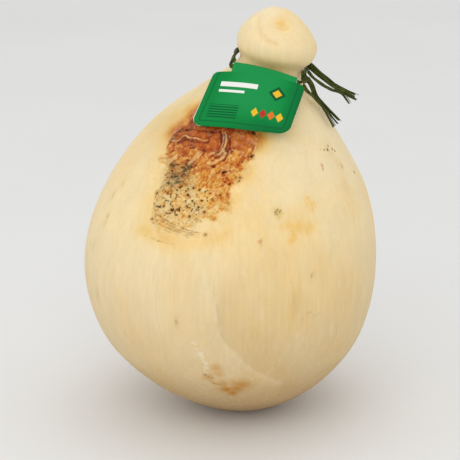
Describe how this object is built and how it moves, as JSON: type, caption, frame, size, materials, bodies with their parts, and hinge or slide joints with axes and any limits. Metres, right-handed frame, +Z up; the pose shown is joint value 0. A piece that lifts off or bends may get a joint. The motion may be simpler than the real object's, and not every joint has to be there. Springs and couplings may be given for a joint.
{
  "type": "caciocavallo cheese",
  "caption": "Pear-shaped aged stretched-curd cheese with a small tied head, a folded card tag on its shoulder and a raffia tie round its neck; stands on a flat spot.",
  "frame": {"origin": "middle of the flat spot that the cheese stands on", "axes": "+Z up the cheese towards its head, +X to the right seen from the front, the tag and the browned patch face -Y"},
  "size_m": [0.1664, 0.1665, 0.2333],
  "materials": {
    "rind": null,
    "card": "green printed card, satin, white at its cut edges",
    "raffia": "dyed dry raffia strands, matte to satin"
  },
  "bodies": {
    "root": {"cheese": "rind", "tag": "card", "raffia_loop": "raffia", "raffia_tail_1": "raffia", "raffia_tail_2": "raffia", "raffia_tail_3": "raffia", "raffia_tail_4": "raffia"}
  },
  "joints": []
}
